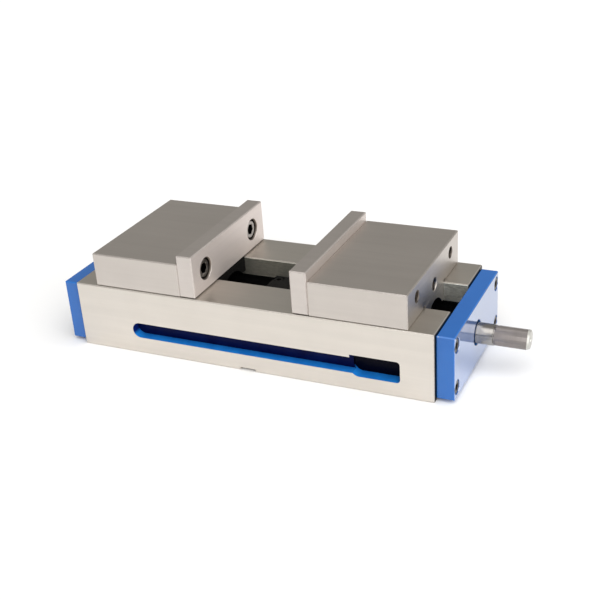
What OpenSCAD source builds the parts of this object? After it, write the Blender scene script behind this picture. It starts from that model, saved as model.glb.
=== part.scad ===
// Self-centring milling vise: two jaws on one bed, drawn together by one right and left-hand screw.
// Origin: middle of the bed on its base plane. +X runs along the screw to its driven end, +Z is up.

/* [Bed] */
// Length of the bed, without its end plates
bed_length = 370; // [330:5:450]
// Width of the bed
bed_width = 152; // [136:2:184]
// Height of the bed from its base to the slideways
bed_height = 68; // [62:1:84]
// Clear width between the two rails
channel_width = 56; // [52:1:68]
// Depth of each rail's lip below the slideway
lip_height = 19; // [14:1:20]
// How far the chamber under the lips reaches past each lip
undercut_reach = 10; // [6:1:12]
// Thickness of the bed's floor
floor_thickness = 14; // [12:1:18]
// Chamfer along the bed's outer edges
bed_chamfer = 1; // [0.5:0.25:2]

/* [Side clamp slots] */
// Height of the slot's middle above the base
slot_mid_height = 25; // [21:0.5:28]
// Height of the slot
slot_height = 16; // [12:0.5:19]
// Depth of the slot into the bed's side
slot_depth = 10; // [6:1:14]
// Distance from the plain end of the bed to the slot's round end
slot_end_margin = 60; // [45:1:80]
// Length of the deeper pocket at the driven end
pocket_length = 48; // [30:1:60]
// Height of the pocket
pocket_height = 21.5; // [18:0.5:25]
// Depth of the pocket into the bed's side
pocket_depth = 12; // [10:1:20]
// Distance from the driven end of the bed to the pocket
pocket_end_margin = 32; // [30:1:60]
// Corner radius of the pocket at its driven end
pocket_corner_r = 3.5; // [2:0.5:6]
// Radius by which the slot's lower edge runs down into the pocket
pocket_run_in_r = 9; // [6:0.5:12]

/* [Base keyway] */
// Width of the cross keyway
key_width = 16; // [12:1:20]
// Depth of the cross keyway
key_depth = 3; // [2:0.5:4]
// Distance between the two tapped holes for key screws
key_screw_pitch = 104; // [92:2:116]
// Tapping diameter of the key screw holes
key_screw_hole_d = 5; // [4:0.1:6.8]
// Depth of the key screw holes
key_screw_hole_depth = 12; // [8:1:16]

/* [End plates] */
// Thickness of each end plate
end_plate_thickness = 17; // [14:0.5:22]
// How far the plate stands in from each side of the bed
end_plate_side_inset = 4; // [2:0.5:8]
// How far the plate stops below the slideways
end_plate_top_inset = 2.5; // [1:0.5:6]
// How far the plate stands above the base
end_plate_bottom_inset = 3; // [1:0.5:6]
// Distance from the plate's side edge to its screws
end_screw_side_margin = 7.5; // [7.5:0.5:12]
// Distance from the plate's top and bottom edges to its screws
end_screw_edge_margin = 10.5; // [9:0.5:13]
// Diameter that the plates' holes add over the widest part of the screw's ends
end_bore_gap = 1.5; // [0.5:0.25:4]

/* [Jaws] */
// Opening between the jaw plates as drawn
opening = 100; // [60:1:120]
// Width of the jaws and their plates
jaw_width = 150; // [130:2:180]
// Length of each jaw body along the screw
jaw_length = 94.5; // [92:0.5:100]
// Height of each jaw body above the slideways
jaw_height = 34; // [32:0.5:42]
// How far the guide tongue stops above the lips' underside
tongue_lip_gap = 1; // [0.8:0.2:4]
// Clearance between the tongue and each rail
tongue_clearance = 0.1; // [0.05:0.05:0.3]
// Gap that the slideway's oil film needs
slide_gap = 0.1; // [0.05:0.05:0.3]
// Width of the grinding relief beside the tongue
relief_width = 5; // [3:0.5:6]
// Height of the grinding relief
relief_height = 2.5; // [1.5:0.5:4]
// Chamfer along the jaws' edges
jaw_chamfer = 1; // [0.5:0.25:2]

/* [Jaw plates] */
// Thickness of each jaw plate
jaw_plate_thickness = 16.5; // [16:0.5:22]
// Height of each jaw plate
jaw_plate_height = 42.5; // [38:0.5:50]
// Gap between the plate's bottom edge and the slideways
jaw_plate_gap = 0.5; // [0.2:0.1:1]
// Distance between a plate's two screws
jaw_screw_pitch = 99; // [88:1:112]
// How far the plate screws' heads lie below the gripping face
jaw_head_sink = 2; // [0.5:0.25:2.5]
// Depth of the tapped holes in the jaws' front and rear faces
jaw_tapped_depth = 27; // [20:1:30]
// Tapping diameter of the rear holes that take a second pair of plates
rear_hole_d = 10.2; // [8.5:0.1:10.8]

/* [Pull-down nuts] */
// Radius of the tunnel through each jaw's tongue, round the screw
tunnel_r = 27; // [25:0.5:27]
// Width of the pocket inside each jaw
jaw_pocket_width = 34; // [30:1:36]
// Length of the pocket's mouth inside each jaw
jaw_pocket_mouth = 32; // [31:0.5:34]
// Gap between the nut's barrel and the bed's floor
nut_floor_gap = 1.5; // [1:0.25:4]
// Length of the nut's barrel
nut_length = 50; // [44:1:56]
// Thickness of the nut's wings, which run under the rails' lips
nut_wing_thickness = 12; // [8:1:14]
// Radius of the half ball between nut and jaw
half_ball_r = 7.5; // [6:0.25:8]
// How far the set screw ends inside the jaw's rear face
set_screw_recess = 14.5; // [2:0.5:20]

/* [Screw and its bearing] */
// Height of the screw's axis above the base
screw_height = 35; // [34.5:0.5:37]
// Outer diameter of the two threads
thread_d = 22; // [20.5:0.5:23]
// Diameter of the plain journals
journal_d = 20; // [18:0.5:20]
// Length of the plain shank left unthreaded at each end of the bed
thread_end_margin = 17; // [10:1:22]
// Journal length that stands out of the driven end plate
journal_stickout = 17; // [8:1:30]
// Length of the square drive
drive_length = 32; // [25:1:45]
// Width across the flats of the square drive
drive_af = 18; // [15:0.5:19]
// Diameter over the drive's rounded corners
drive_corner_d = 22.5; // [20:0.5:23]
// Angle of the drive's near flat above the horizontal
drive_angle = 25; // [0:1:90]
// Diameter of the collar that takes the thrust
collar_d = 27; // [25:0.5:28]
// Width of the collar
collar_width = 8; // [6:0.5:10]
// Thickness of each thrust washer
washer_thickness = 2; // [1.5:0.25:3]
// Length of the bearing housing along the screw
housing_length = 30; // [28:0.5:32]
// Wall of the bearing cap above the collar
cap_wall = 3.5; // [3:0.5:5]
// Distance from the housing's sides to its four screws
bearing_screw_margin = 7; // [6.5:0.25:8]
// Diameter of the dowels under the bearing
dowel_d = 6; // [5:0.5:6]

/* [Hidden] */
$fn = 64;
eps = 0.01;          // overrun that keeps two cuts or joined solids from sharing a face
run_fit = 0.05;      // radial clearance of a running fit
thread_fit = 0.05;   // radial gap where a plain cylinder stands in for a thread

// Cap screws: [shank diameter, head diameter, head height, socket width across flats]
m6 = [6, 10, 6, 5];
m8 = [8, 13, 8, 6];
m12 = [12, 18, 12, 10];
head_sink = 0.5;     // how far the other screws' heads lie below their counterbores' rims
counterbore_gap = 1; // counterbore diameter over head diameter
jaw_seat_gap = 2.5;  // the same in the jaw plates, which a socket spanner must enter
jaw_seat_chamfer = 1.2;
shank_gap = 0.6;     // clearance hole diameter over shank diameter
seat_chamfer = 0.4;  // countersink round each counterbore
hole_chamfer = 0.8;  // countersink round each tapped hole and shaft hole
socket_share = 0.55; // socket depth as a share of the head's height

half_bed = bed_length / 2;
end_plate_bore_d = max(journal_d, drive_corner_d) + end_bore_gap;
slide_z = bed_height + slide_gap;
lip_z = bed_height - lip_height;
undercut_width = channel_width + 2 * undercut_reach;

end_plate_width = bed_width - 2 * end_plate_side_inset;
end_plate_height = bed_height - end_plate_top_inset - end_plate_bottom_inset;
end_plate_face = half_bed + end_plate_thickness;
end_screw_y = end_plate_width / 2 - end_screw_side_margin;
end_screw_z = [end_plate_bottom_inset + end_screw_edge_margin,
               bed_height - end_plate_top_inset - end_screw_edge_margin];
end_screw_grip = 22; // thread length in the bed

jaw_front = opening / 2 + jaw_plate_thickness;
jaw_top = bed_height + jaw_height;
tongue_width = channel_width - 2 * tongue_clearance;
tongue_z = lip_z + tongue_lip_gap;
nose_over_cap = 1;   // gap over the bearing cap when the jaws close above it
jaw_plate_z = bed_height + jaw_plate_gap;
jaw_screw_z = jaw_plate_z + jaw_plate_height / 2 - jaw_plate_gap;
jaw_screw_grip = 24; // thread length in the jaw

// The jaw's inner pocket, in distances behind the jaw's front face
pocket_front = 16;
pocket_roof = 8;        // metal left above the pocket
ledge_length = 18;      // ball-seat ledge, from the pocket's front wall
ledge_gap = 1;          // gap between the ledge and the nut's slope
nut_gap = 2;            // gap over the nut's tower
ledge_end_z = screw_height + tunnel_r + 2;
ledge_top_z = ledge_end_z + ledge_length;
mouth_front = pocket_front + ledge_length;
pocket_rear = mouth_front + jaw_pocket_mouth;
ball_u = pocket_front + ledge_length / 2 + ledge_gap / sqrt(2);
ball_z = ledge_end_z + ledge_length / 2 + ledge_gap / sqrt(2);
tower_neck_front = mouth_front + 2;
tower_front = pocket_front + 4;
tower_rear = mouth_front + 16;
tower_top = jaw_top - pocket_roof - nut_gap;
tower_width = jaw_pocket_width - 4;
nut_front = mouth_front - 10;
nut_r = screw_height - floor_thickness - nut_floor_gap;
wing_gap = 0.3;         // running gap under the lips
wing_side_gap = 1;
set_screw_z = tower_top - 13.5;
set_screw_length = jaw_length - set_screw_recess - tower_rear;

thread_in = housing_length / 2 + 5;
thread_out = half_bed - thread_end_margin;
drive_start = end_plate_face + journal_stickout;
drive_end = drive_start + drive_length;
drive_chamfer = 1.5;
left_journal_recess = 1; // the plain end stops this far inside its end plate

housing_width = channel_width - 1;
bearing_screw_x = housing_length / 2 - 6;
bearing_screw_y = housing_width / 2 - bearing_screw_margin;
cap_top = screw_height + collar_d / 2 + cap_wall;
nose_z = cap_top + nose_over_cap;
bearing_screw_grip = 7.5;
dowel_half = 6;         // dowel length either side of the bed's floor

/* ---------- shared shapes ---------- */

// Box with every edge chamfered, centred in X and Y, standing on z = 0
module chamfered_box(size, c) {
    intersection() {
        linear_extrude(size.z) chamfered_rect(size.x, size.y, c);
        translate([0, size.y / 2, size.z / 2]) rotate([90, 0, 0])
            linear_extrude(size.y) chamfered_rect(size.x, size.z, c);
        translate([-size.x / 2, 0, size.z / 2]) rotate([90, 0, 90])
            linear_extrude(size.x) chamfered_rect(size.y, size.z, c);
    }
}

module chamfered_rect(w, h, c) {
    x = w / 2;
    y = h / 2;
    polygon([[-x + c, -y], [x - c, -y], [x, -y + c], [x, y - c],
             [x - c, y], [-x + c, y], [-x, y - c], [-x, -y + c]]);
}

// Cylinder along +X from x = 0
module rod(d, length) {
    rotate([0, 90, 0]) cylinder(d = d, h = length);
}

// Shape drawn as (u, z) and extruded symmetrically across the vise
module across(width) {
    translate([0, width / 2, 0]) rotate([90, 0, 0]) linear_extrude(width) children();
}

// Right-hand parts are drawn where they are; left-hand ones are their mirror image
module on_side(left) {
    mirror([left ? 1 : 0, 0, 0]) children();
}

// Socket cap screw along +X: its head's outer face at x = 0, shank towards -X
module cap_screw(size, shank) {
    difference() {
        union() {
            translate([-size[2], 0, 0]) rod(size[1], size[2]);
            translate([-size[2] - shank, 0, 0]) rod(size[0], shank + eps);
        }
        translate([-size[2] * socket_share, 0, 0]) hex_rod(size[3], size[2]);
        chamfer_ring(size[1], 0.6);
    }
}

// Removes the sharp rim of a round face at x = 0
module chamfer_ring(d, c) {
    rotate([0, 90, 0]) rotate_extrude()
        polygon([[d / 2 - c, eps], [d / 2 + eps, eps], [d / 2 + eps, -c]]);
}

// Countersinks the mouth of a hole of diameter d in a face at x = 0, hole towards -X
module hole_mouth(d, c) {
    translate([-c, 0, 0]) rotate([0, 90, 0]) cylinder(d1 = d, d2 = d + 2 * c + 2, h = c + 1);
}

module hex_rod(af, length) {
    rotate([0, 90, 0]) cylinder(d = af / cos(30), h = length, $fn = 6);
}

// Counterbore and clearance hole for a cap screw, along -X from a face at x = 0
module screw_seat(size, depth, sink = head_sink, gap = counterbore_gap, chamfer = seat_chamfer) {
    seat = size[2] + sink;
    translate([-seat, 0, 0]) rod(size[1] + gap, seat + 1);
    hole_mouth(size[1] + gap, chamfer);
    translate([-depth - 1, 0, 0]) rod(size[0] + shank_gap, depth + 1);
}

/* ---------- bed ---------- */

// Channel between the rails, and the wider chamber under their lips, as (y, z)
module channel_outline() {
    mouth = channel_width / 2;
    wide = undercut_width / 2;
    top = bed_height + 1;
    polygon([[-wide, floor_thickness], [wide, floor_thickness], [wide, lip_z], [mouth, lip_z],
             [mouth, bed_height - bed_chamfer], [mouth + bed_chamfer + 1, top],
             [-mouth - bed_chamfer - 1, top], [-mouth, bed_height - bed_chamfer],
             [-mouth, lip_z], [-wide, lip_z]]);
}

module slot_outline() {
    narrow_x = half_bed - pocket_end_margin - pocket_corner_r;
    round_x = -half_bed + slot_end_margin + slot_height / 2;
    translate([round_x, slot_mid_height]) circle(d = slot_height);
    translate([round_x, slot_mid_height - slot_height / 2]) square([narrow_x - round_x, slot_height]);
}

// The pocket's upper edge starts in a step, its lower edge in a long curve
module pocket_outline() {
    r = pocket_corner_r;
    run_in = pocket_run_in_r;
    x1 = half_bed - pocket_end_margin;
    x0 = x1 - pocket_length;
    z0 = slot_mid_height - pocket_height / 2;
    z1 = slot_mid_height + pocket_height / 2;
    translate([x0, z0 + run_in]) square([pocket_length - r, pocket_height - run_in]);
    translate([x0 + run_in, z0]) square([pocket_length - run_in - r, pocket_height]);
    translate([x0 + run_in, z0 + r]) square([pocket_length - run_in, pocket_height - 2 * r]);
    translate([x0 + run_in, z0 + run_in]) circle(run_in);
    for (z = [z0 + r, z1 - r]) translate([x1 - r, z]) circle(r);
}

module side_slot() {
    translate([0, -bed_width / 2 + slot_depth, 0]) rotate([90, 0, 0])
        linear_extrude(slot_depth + 1) slot_outline();
    translate([0, -bed_width / 2 + pocket_depth, 0]) rotate([90, 0, 0])
        linear_extrude(pocket_depth + 1) pocket_outline();
}

module bed() {
    color("gainsboro") difference() {
        chamfered_box([bed_length, bed_width, bed_height], bed_chamfer);
        translate([-half_bed - 1, 0, 0]) rotate([90, 0, 90])
            linear_extrude(bed_length + 2) channel_outline();
        side_slot();
        mirror([0, 1, 0]) side_slot();
        // cross keyway and its screw holes
        translate([-key_width / 2, -bed_width / 2 - 1, -1])
            cube([key_width, bed_width + 2, key_depth + 1]);
        for (s = [-1, 1]) translate([0, s * key_screw_pitch / 2, key_depth - eps])
            cylinder(d = key_screw_hole_d, h = key_screw_hole_depth + eps, $fn = 32);
        // holes for the end plates' screws
        for (left = [false, true]) on_side(left) at_end_screws()
            translate([-end_screw_grip - 2, 0, 0]) rod(m8[0] + 2 * thread_fit, end_screw_grip + 3);
        // holes for the bearing's screws and dowels
        at_bearing_screws() translate([0, 0, floor_thickness - bearing_screw_grip - 1])
            cylinder(d = m6[0] + 2 * thread_fit, h = bearing_screw_grip + 2);
        at_dowels() translate([0, 0, floor_thickness - dowel_half - 0.5])
            cylinder(d = dowel_d, h = dowel_half + 2);
    }
}

/* ---------- end plates ---------- */

// Children are placed on each end screw's axis, with x = 0 on the bed's end face
module at_end_screws() {
    for (y = [-end_screw_y, end_screw_y], z = end_screw_z) translate([half_bed, y, z]) children();
}

module end_plate(left) {
    color("steelblue") on_side(left) difference() {
        translate([half_bed + end_plate_thickness / 2, 0, end_plate_bottom_inset])
            chamfered_box([end_plate_thickness, end_plate_width, end_plate_height], bed_chamfer);
        at_end_screws() translate([end_plate_thickness, 0, 0]) screw_seat(m8, end_plate_thickness);
        translate([half_bed - 1, 0, screw_height]) rod(end_plate_bore_d, end_plate_thickness + 2);
        translate([end_plate_face, 0, screw_height]) hole_mouth(end_plate_bore_d, hole_chamfer);
    }
}

module end_screws(left) {
    shank = end_plate_thickness - head_sink - m8[2] + end_screw_grip;
    color("dimgray") on_side(left) at_end_screws()
        translate([end_plate_thickness - head_sink, 0, 0]) cap_screw(m8, shank);
}

module left_end_plate() { end_plate(true); }
module right_end_plate() { end_plate(false); }
module left_end_screws() { end_screws(true); }
module right_end_screws() { end_screws(false); }

/* ---------- jaws ---------- */

// Children are placed on each jaw screw's axis, with x = 0 on the given plane
module at_jaw_screws(x) {
    for (s = [-1, 1]) translate([x, s * jaw_screw_pitch / 2, jaw_screw_z]) children();
}

// Inner pocket as (u, z): the ledge below its front end carries the half ball's seat
module jaw_pocket_outline() {
    low = screw_height;
    roof = jaw_top - pocket_roof;
    polygon([[pocket_front, ledge_top_z], [mouth_front, ledge_end_z], [mouth_front, low],
             [pocket_rear, low], [pocket_rear, roof], [pocket_front, roof]]);
}

module jaw(left) {
    color("silver") on_side(left) translate([jaw_front, 0, 0]) difference() {
        union() {
            translate([jaw_length / 2, 0, slide_z])
                chamfered_box([jaw_length, jaw_width, jaw_top - slide_z], jaw_chamfer);
            translate([0, -tongue_width / 2, tongue_z])
                cube([jaw_length, tongue_width, slide_z + 2 * jaw_chamfer - tongue_z]);
            // nose of the tongue under the jaw plate, which keeps chips out of the channel
            translate([-jaw_plate_thickness, -tongue_width / 2, nose_z])
                cube([jaw_plate_thickness + 2, tongue_width, bed_height - nose_z]);
        }
        translate([-jaw_plate_thickness - 1, 0, screw_height])
            rod(2 * tunnel_r, jaw_plate_thickness + jaw_length + 2);
        across(jaw_pocket_width) jaw_pocket_outline();
        for (s = [-1, 1]) translate([-1, s * (tongue_width + relief_width) / 2 - relief_width / 2,
                                     slide_z - eps])
            cube([jaw_length + 2, relief_width, relief_height + eps]);
        translate([ball_u, 0, ball_z]) sphere(half_ball_r + run_fit);
        translate([pocket_rear - 1, 0, set_screw_z])
            rod(m12[0] + 2 * thread_fit, jaw_length - pocket_rear + 2);
        translate([jaw_length, 0, set_screw_z]) hole_mouth(m12[0], hole_chamfer);
        translate([-jaw_front, 0, 0]) at_jaw_screws(jaw_front - 1)
            rod(m12[0] + 2 * thread_fit, jaw_tapped_depth + 1);
        translate([-jaw_front, 0, 0]) at_jaw_screws(jaw_front + jaw_length - jaw_tapped_depth)
            rod(rear_hole_d, jaw_tapped_depth + 1);
        translate([-jaw_front, 0, 0]) at_jaw_screws(jaw_front + jaw_length)
            hole_mouth(rear_hole_d, hole_chamfer);
    }
}

module jaw_plate(left) {
    color("lightgray") on_side(left) difference() {
        translate([jaw_front - jaw_plate_thickness / 2, 0, jaw_plate_z])
            chamfered_box([jaw_plate_thickness, jaw_width, jaw_plate_height], jaw_chamfer);
        at_jaw_screws(opening / 2) mirror([1, 0, 0])
            screw_seat(m12, jaw_plate_thickness, jaw_head_sink, jaw_seat_gap, jaw_seat_chamfer);
    }
}

module jaw_plate_screws(left) {
    shank = jaw_plate_thickness - jaw_head_sink - m12[2] + jaw_screw_grip;
    color("dimgray") on_side(left) at_jaw_screws(opening / 2 + jaw_head_sink)
        mirror([1, 0, 0]) cap_screw(m12, shank);
}

module left_jaw() { jaw(true); }
module right_jaw() { jaw(false); }
module left_jaw_plate() { jaw_plate(true); }
module right_jaw_plate() { jaw_plate(false); }
module left_jaw_plate_screws() { jaw_plate_screws(true); }
module right_jaw_plate_screws() { jaw_plate_screws(false); }

/* ---------- nuts, half balls and set screws ---------- */

// The nut's tower hooks over the jaw's ledge; its slope is parallel to the ledge's
module tower_outline() {
    slope = ball_u + ball_z;
    polygon([[tower_neck_front, screw_height], [tower_rear, screw_height], [tower_rear, tower_top],
             [tower_front, tower_top], [tower_front, slope - tower_front],
             [tower_neck_front, slope - tower_neck_front]]);
}

module nut(left) {
    wing_width = undercut_width - 2 * wing_side_gap;
    color("darkgoldenrod") on_side(left) translate([jaw_front, 0, 0]) difference() {
        union() {
            translate([nut_front, 0, screw_height]) rod(2 * nut_r, nut_length);
            translate([nut_front, -wing_width / 2, lip_z - wing_gap - nut_wing_thickness])
                cube([nut_length, wing_width, nut_wing_thickness]);
            across(tower_width) tower_outline();
        }
        translate([nut_front - 1, 0, screw_height]) rod(thread_d + 2 * thread_fit, nut_length + 2);
    }
}

module half_ball(left) {
    color("gray") on_side(left) translate([jaw_front + ball_u, 0, ball_z]) rotate([0, 45, 0])
        difference() {
            sphere(half_ball_r);
            translate([-2 * half_ball_r, -2 * half_ball_r, 0]) cube(4 * half_ball_r);
        }
}

module set_screw(left) {
    socket_af = 6;
    socket_depth = 8;
    color("dimgray") on_side(left) translate([jaw_front + tower_rear, 0, set_screw_z]) difference() {
        rod(m12[0], set_screw_length);
        translate([set_screw_length - socket_depth, 0, 0]) hex_rod(socket_af, socket_depth + 1);
        translate([set_screw_length, 0, 0]) chamfer_ring(m12[0], 0.8);
    }
}

module left_nut() { nut(true); }
module right_nut() { nut(false); }
module left_half_ball() { half_ball(true); }
module right_half_ball() { half_ball(false); }
module left_set_screw() { set_screw(true); }
module right_set_screw() { set_screw(false); }

/* ---------- screw and bearing ---------- */

module drive() {
    translate([drive_start - eps, 0, 0]) intersection() {
        rotate([-drive_angle, 0, 0]) translate([0, -drive_af / 2, -drive_af / 2])
            cube([drive_length + eps, drive_af, drive_af]);
        rotate([0, 90, 0]) rotate_extrude() polygon([
            [0, 0], [journal_d / 2, 0], [drive_corner_d / 2, drive_chamfer],
            [drive_corner_d / 2, drive_length - drive_chamfer],
            [drive_corner_d / 2 - 2 * drive_chamfer, drive_length + eps], [0, drive_length + eps]]);
    }
}

module lead_screw() {
    left_end = end_plate_face - left_journal_recess;
    color("lightsteelblue") translate([0, 0, screw_height]) union() {
        rotate([0, 90, 0]) rotate_extrude() polygon([
            [0, -left_end], [journal_d / 2 - 1, -left_end], [journal_d / 2, -left_end + 1],
            [journal_d / 2, -thread_out - 1], [thread_d / 2, -thread_out],
            [thread_d / 2, -thread_in], [journal_d / 2, -thread_in + 1],
            [journal_d / 2, -collar_width / 2], [collar_d / 2, -collar_width / 2],
            [collar_d / 2, collar_width / 2], [journal_d / 2, collar_width / 2],
            [journal_d / 2, thread_in - 1], [thread_d / 2, thread_in],
            [thread_d / 2, thread_out], [journal_d / 2, thread_out + 1],
            [journal_d / 2, drive_start], [0, drive_start]]);
        drive();
    }
}

module at_bearing_screws() {
    for (x = [-bearing_screw_x, bearing_screw_x], y = [-bearing_screw_y, bearing_screw_y])
        translate([x, y, 0]) children();
}

module at_dowels() {
    for (y = [-bearing_screw_y, bearing_screw_y]) translate([0, y, 0]) children();
}

// Space inside the housing for the journal, the collar and the two thrust washers
module bearing_space() {
    groove = collar_width + 2 * (washer_thickness + run_fit);
    translate([-housing_length / 2 - 1, 0, screw_height]) rod(journal_d + 2 * run_fit, housing_length + 2);
    translate([-groove / 2, 0, screw_height]) rod(collar_d + 2 * run_fit, groove);
}

module bearing_base() {
    color("dimgray") difference() {
        translate([-housing_length / 2, -housing_width / 2, floor_thickness])
            cube([housing_length, housing_width, screw_height - floor_thickness]);
        bearing_space();
        at_bearing_screws() translate([0, 0, floor_thickness - 1])
            cylinder(d = m6[0] + shank_gap, h = screw_height);
        at_dowels() translate([0, 0, floor_thickness - 1]) cylinder(d = dowel_d, h = dowel_half + 1.5);
    }
}

module bearing_cap() {
    color("dimgray") difference() {
        translate([0, 0, screw_height])
            chamfered_box([housing_length, housing_width, cap_top - screw_height], bed_chamfer);
        bearing_space();
        at_bearing_screws() translate([0, 0, cap_top]) rotate([0, -90, 0])
            screw_seat(m6, cap_top - screw_height);
    }
}

module bearing_screws() {
    top = cap_top - head_sink;
    shank = top - m6[2] - floor_thickness + bearing_screw_grip;
    color("dimgray") at_bearing_screws() translate([0, 0, top]) rotate([0, -90, 0])
        cap_screw(m6, shank);
}

module bearing_dowels() {
    color("gray") at_dowels() translate([0, 0, floor_thickness - dowel_half])
        cylinder(d = dowel_d, h = 2 * dowel_half);
}

module thrust_washer(left) {
    gap = run_fit / 2;
    color("goldenrod") on_side(left) translate([collar_width / 2 + gap, 0, screw_height]) difference() {
        rod(collar_d, washer_thickness);
        translate([-1, 0, 0]) rod(journal_d + 2 * run_fit, washer_thickness + 2);
    }
}

module left_thrust_washer() { thrust_washer(true); }
module right_thrust_washer() { thrust_washer(false); }

/* ---------- nodes ---------- */

bed();
left_end_plate();
right_end_plate();
left_end_screws();
right_end_screws();
left_jaw();
right_jaw();
left_jaw_plate();
right_jaw_plate();
left_jaw_plate_screws();
right_jaw_plate_screws();
left_nut();
right_nut();
left_half_ball();
right_half_ball();
left_set_screw();
right_set_screw();
lead_screw();
bearing_base();
bearing_cap();
bearing_screws();
bearing_dowels();
left_thrust_washer();
right_thrust_washer();
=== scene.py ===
"""Self-centring milling vise: ground iron, painted end plates, turned screw and its fasteners."""

import math
from collections import namedtuple

import bmesh
import bpy
from mathutils import Matrix, Vector


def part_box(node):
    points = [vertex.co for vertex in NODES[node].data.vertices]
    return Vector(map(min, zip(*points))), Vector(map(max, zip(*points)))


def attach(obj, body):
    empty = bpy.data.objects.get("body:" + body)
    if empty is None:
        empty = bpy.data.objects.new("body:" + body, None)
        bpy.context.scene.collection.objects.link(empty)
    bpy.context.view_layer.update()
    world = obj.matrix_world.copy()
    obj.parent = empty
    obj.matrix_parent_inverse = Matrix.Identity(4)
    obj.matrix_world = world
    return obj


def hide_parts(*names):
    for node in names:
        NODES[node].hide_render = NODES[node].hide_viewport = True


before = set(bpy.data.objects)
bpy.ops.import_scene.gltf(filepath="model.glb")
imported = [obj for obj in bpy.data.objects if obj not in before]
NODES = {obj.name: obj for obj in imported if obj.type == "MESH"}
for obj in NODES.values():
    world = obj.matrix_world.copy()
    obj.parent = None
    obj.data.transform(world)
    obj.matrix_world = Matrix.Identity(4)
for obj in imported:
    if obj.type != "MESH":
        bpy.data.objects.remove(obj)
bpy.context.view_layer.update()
MM = 0.001

# ---------- sizes taken from the frame ----------

BED_LO, BED_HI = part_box("bed")
SCREW_LO, SCREW_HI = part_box("lead_screw")
JAW_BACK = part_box("right_jaw")[1].x
PLATE_SCREWS_LO, PLATE_SCREWS_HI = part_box("right_jaw_plate_screws")
GRUB_LO, GRUB_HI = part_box("right_set_screw")
GRUB_Z = (GRUB_LO.z + GRUB_HI.z) / 2            # height of the set screws' axis
NOSE_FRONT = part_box("right_jaw_plate")[0].x
AXIS_Z = (SCREW_LO.z + SCREW_HI.z) / 2          # height of the screw's axis
COLLAR_R = (SCREW_HI.z - SCREW_LO.z) / 2

# sizes of the screw that its box doesn't tell
JOURNAL_R = 10 * MM
THREAD_R = 11 * MM
THREAD_ROOT_R = 8.4 * MM
THREAD_PITCH = 5 * MM
THREAD_FLAT_SHARE = 0.37        # crest and root are each this part of the pitch
THREAD_END_MARGIN = 17 * MM
THREAD_START = 20 * MM
COLLAR_HALF = 4 * MM
DRIVE_LENGTH = 32 * MM
DRIVE_HALF_AF = 9 * MM
DRIVE_CORNER_R = 11.25 * MM
DRIVE_ANGLE = math.radians(25)

# sizes of the bed and the jaws that their boxes don't tell
CHANNEL_HALF = 28 * MM
CHAMBER_HALF = CHANNEL_HALF + 10.3 * MM
LIP_Z = BED_HI.z - 19 * MM
SLOT_LOW = (BED_LO.x + 58 * MM, BED_LO.y, 12 * MM)
SLOT_HIGH = (BED_HI.x - 30 * MM, BED_HI.y, 38 * MM)
SLOT_BACK = BED_HI.y - 14 * MM
POCKET_WALL = BED_HI.y - 9.6 * MM               # the deep pocket lies behind this
TUNNEL_R = 27 * MM
NOSE_LENGTH = 16 * MM
PLATE_COUNTERBORE_R = 11 * MM
TAP_DRILL_R = 5.1 * MM
GRUB_HOLE_R = 6.05 * MM

# standard socket cap screws
CapScrew = namedtuple("CapScrew", "shank_r head_r head_h across_flats pitch")
M6 = CapScrew(3 * MM, 5 * MM, 6 * MM, 5 * MM, 1 * MM)
M8 = CapScrew(4 * MM, 6.5 * MM, 8 * MM, 6 * MM, 1.25 * MM)
M12 = CapScrew(6 * MM, 9 * MM, 12 * MM, 10 * MM, 1.75 * MM)

# the jaw plate screws' axes, as (y, z)
PLATE_SCREW_AXES = [(y, (PLATE_SCREWS_LO.z + PLATE_SCREWS_HI.z) / 2)
                    for y in (PLATE_SCREWS_LO.y + M12.head_r, PLATE_SCREWS_HI.y - M12.head_r)]

# how finishes meet
EDGE_WIDTH = 1.3 * MM       # how far worn edges reach onto a face
SEAM = 0.2 * MM             # width over which one finish gives way to the next
BORE_MARGIN = 0.1 * MM      # a bore's painted shade starts this far outside its wall


# ---------- shader helpers ----------

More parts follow.
